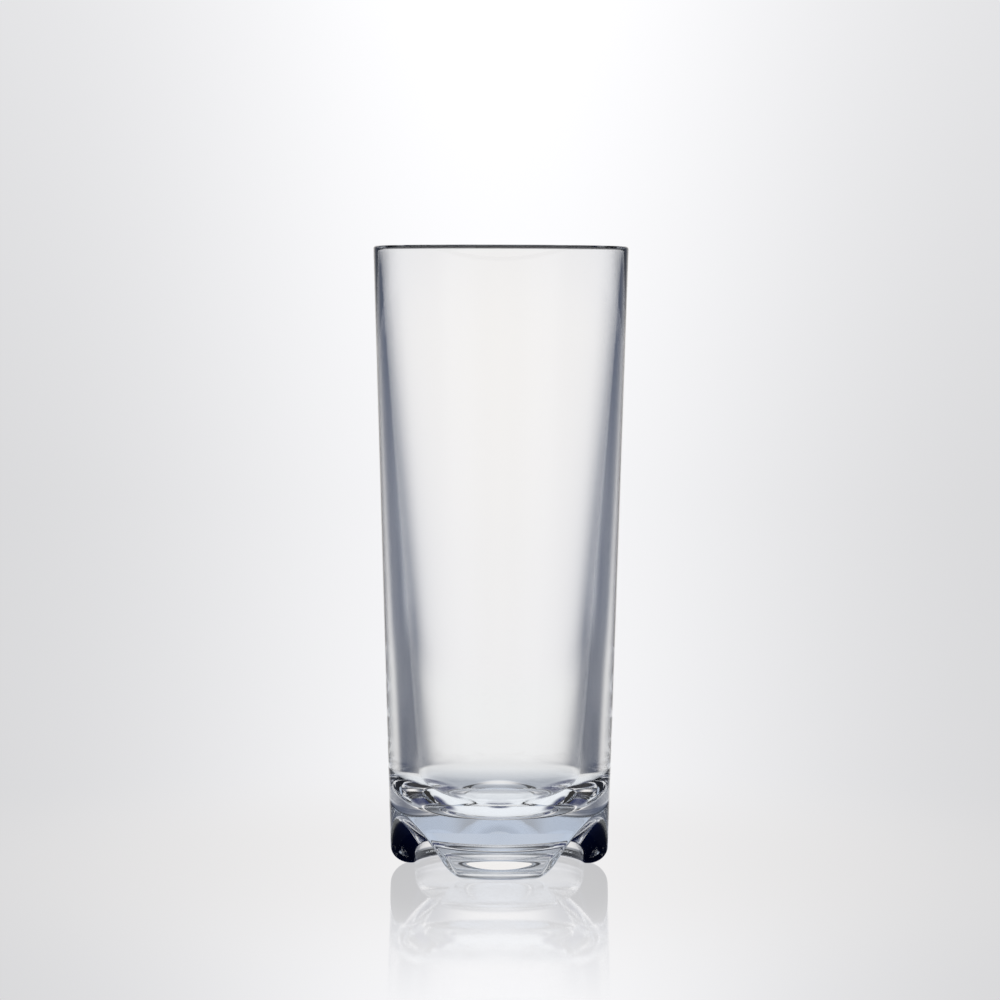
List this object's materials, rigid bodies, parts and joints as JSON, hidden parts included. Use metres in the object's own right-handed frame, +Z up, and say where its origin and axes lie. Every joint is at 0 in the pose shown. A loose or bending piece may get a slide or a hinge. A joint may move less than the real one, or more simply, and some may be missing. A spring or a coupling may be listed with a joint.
{
  "type": "highball glass",
  "caption": "Tall clear highball glass with a tapered wall, a thick base and arched scoops that leave feet to stand on.",
  "frame": {"origin": "centre of the circle on which the feet stand, on the table", "axes": "+Z up along the glass's axis, out of the mouth; one foot points to -Y, which is the pictured front; +X to the right of that view"},
  "size_m": [0.0676, 0.0676, 0.165],
  "materials": {
    "clear_glass": "clear, fire-polished, colourless soda-lime glass with a faint cool cast"
  },
  "bodies": {
    "root": {"rim": "clear_glass", "wall": "clear_glass", "base": "clear_glass", "foot_front": "clear_glass", "foot_left": "clear_glass", "foot_right": "clear_glass"}
  },
  "joints": []
}
